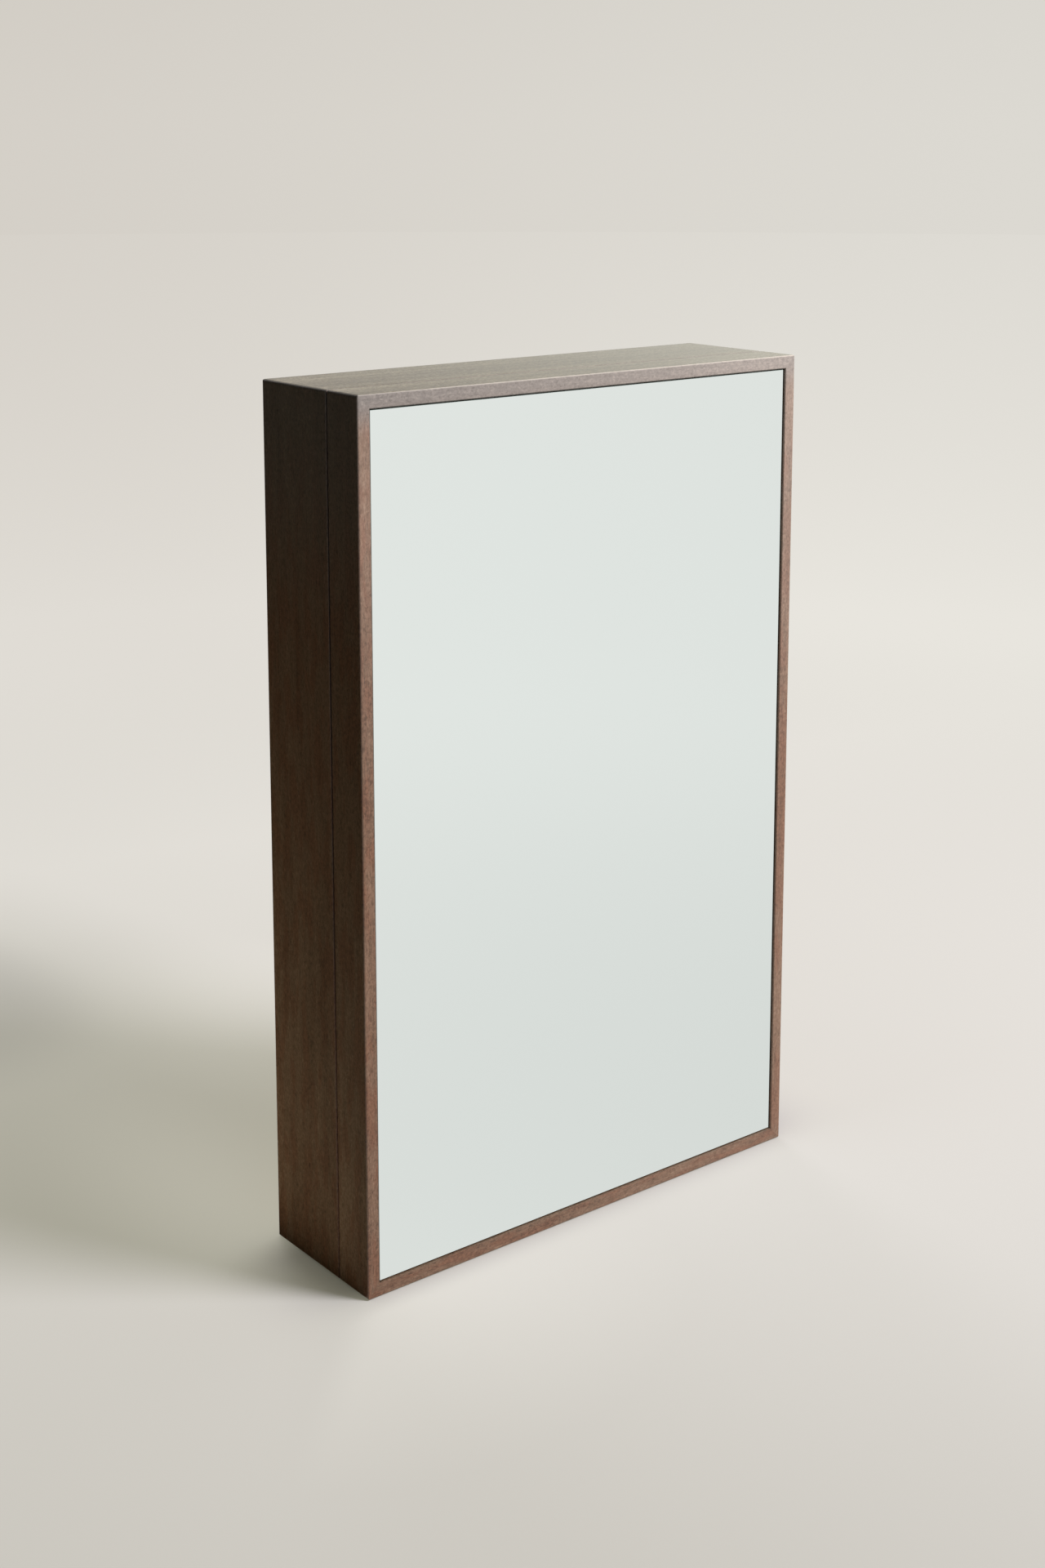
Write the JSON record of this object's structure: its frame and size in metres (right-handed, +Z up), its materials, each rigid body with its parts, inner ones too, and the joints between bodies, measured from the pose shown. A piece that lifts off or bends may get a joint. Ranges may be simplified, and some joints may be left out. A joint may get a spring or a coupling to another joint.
{
  "type": "wall jewelry mirror cabinet",
  "caption": "Shallow walnut wall cabinet for jewelry with a full mirror door on side hinges, hooks, shelves, a ring tray and bins inside.",
  "frame": {"origin": "centre of the base: middle of the width and of the depth of the shut cabinet, on the plane it stands on", "axes": "+Z up, +Y towards the wall, +X to the right as one faces the mirror"},
  "size_m": [0.3847, 0.11, 0.6],
  "materials": {
    "walnut": "fine straight grain under a thin matt oil, eased edges",
    "inner_walnut": "fine straight grain, matt lacquer",
    "plywood": "sanded thin birch plywood",
    "linen": "woven linen glued on board",
    "velvet": "short pile over foam",
    "felt": "pressed felt sheet",
    "brass": "fine brushed, lacquered",
    "zinc_steel": "zinc plated",
    "nickel": "nickel plated",
    "mirror": "silvered float glass, ground edges",
    "foam_tape": "double-sided foam tape",
    "clear_rubber": "soft clear bumper"
  },
  "bodies": {
    "case": {"case_left_side": "walnut", "case_right_side": "walnut", "case_top": "walnut", "case_bottom": "walnut", "case_corner_splines": "plywood", "back_panel": "plywood", "back_lining": "linen", "hanging_cleat": "plywood", "lower_batten": "plywood", "keyhole_hangers": "zinc_steel", "hanger_screws": "zinc_steel", "hook_rail": "inner_walnut", "necklace_hooks": "brass", "upper_shelf": "inner_walnut", "lower_shelf": "inner_walnut", "middle_divider": "inner_walnut", "cubby_shelf": "inner_walnut", "gallery_rod": "brass", "bracelet_rod": "brass", "case_rod_roses": "brass", "ring_tray": "inner_walnut", "ring_rolls": "velvet", "bin_divider": "inner_walnut", "bin_front_lip": "inner_walnut", "bin_pads": "felt", "shelf_pads": "felt", "catch_magnets": "nickel", "door_bumpers": "clear_rubber", "upper_hinge_case_leaf": "brass", "lower_hinge_case_leaf": "brass", "hinge_case_screws": "brass", "upper_hinge_pin": "brass", "lower_hinge_pin": "brass"},
    "door": {"door_left_stile": "walnut", "door_right_stile": "walnut", "door_top_rail": "walnut", "door_bottom_rail": "walnut", "door_corner_splines": "plywood", "mirror_glass": "mirror", "mirror_tape": "foam_tape", "backing_panel": "plywood", "door_lining": "linen", "earring_bars": "brass", "door_ledges": "inner_walnut", "ledge_rails": "brass", "door_rod_roses": "brass", "catch_plates": "nickel", "upper_hinge_door_leaf": "brass", "lower_hinge_door_leaf": "brass", "hinge_door_screws": "brass"}
  },
  "joints": [
    {"name": "door_hinge", "type": "hinge", "parent": "case", "child": "door", "pos_m": [0.1925, -0.0205, 0.3], "axis": [0, 0, 1], "range_deg": [0, 180]}
  ]
}
